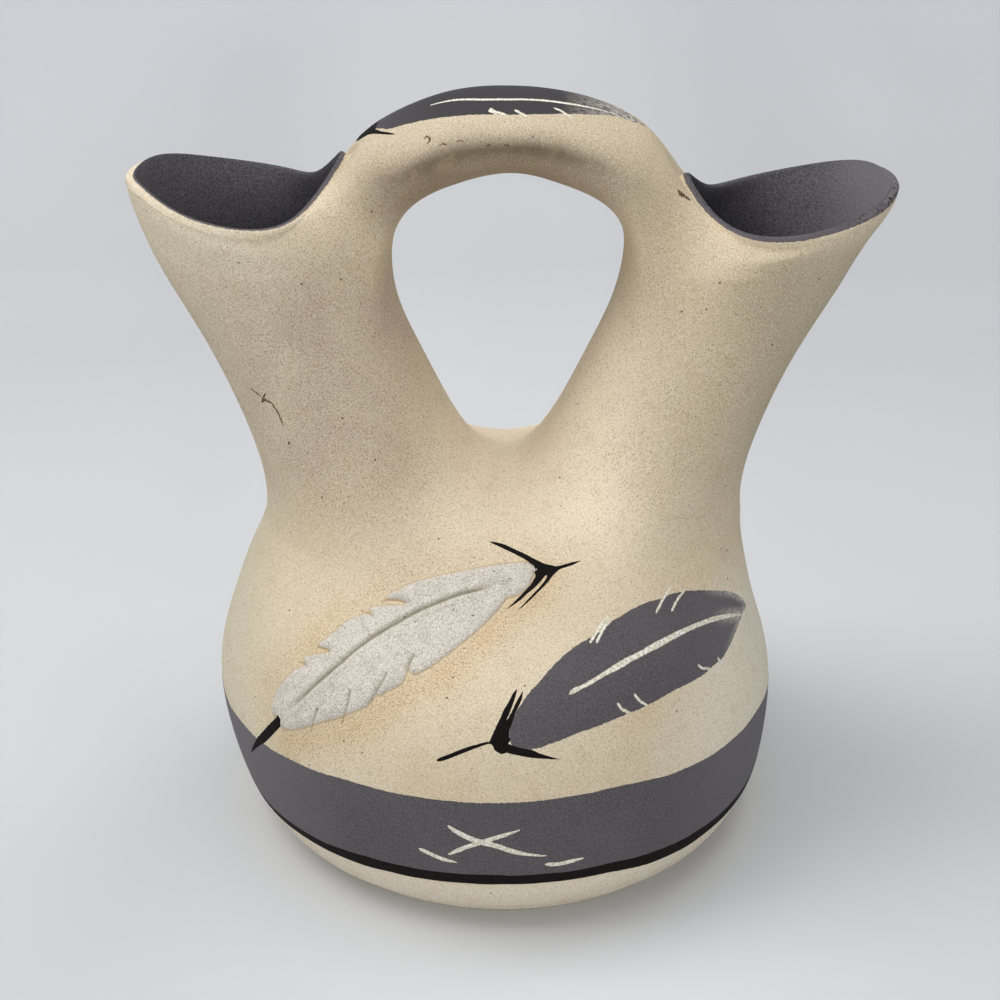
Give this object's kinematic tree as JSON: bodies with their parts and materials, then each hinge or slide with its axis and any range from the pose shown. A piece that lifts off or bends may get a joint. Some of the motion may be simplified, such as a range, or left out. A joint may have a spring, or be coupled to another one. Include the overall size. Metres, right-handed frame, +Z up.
{
  "type": "wedding vase",
  "caption": "Wedding vase with a round squat bowl, paired upright spouts with flared lips, and an arched handle joining them.",
  "frame": {"origin": "middle of the foot's flat underside", "axes": "+Z up, the two spouts side by side along X, the decorated front facing -Y"},
  "size_m": [0.1633, 0.128, 0.171],
  "materials": {
    "clay": "matt bisque, cream with fine brown specks",
    "white_clay": "matt, chalky off-white",
    "grey_slip": "matt warm grey slip",
    "black_slip": "matt brown-black slip"
  },
  "bodies": {
    "root": {"bowl": "clay", "shoulder": "clay", "left_spout": "clay", "right_spout": "clay", "handle": "clay", "grey_band": "grey_slip", "black_line": "black_slip", "raised_feather": "white_clay", "painted_feather": "grey_slip", "handle_feather": "grey_slip"}
  },
  "joints": []
}
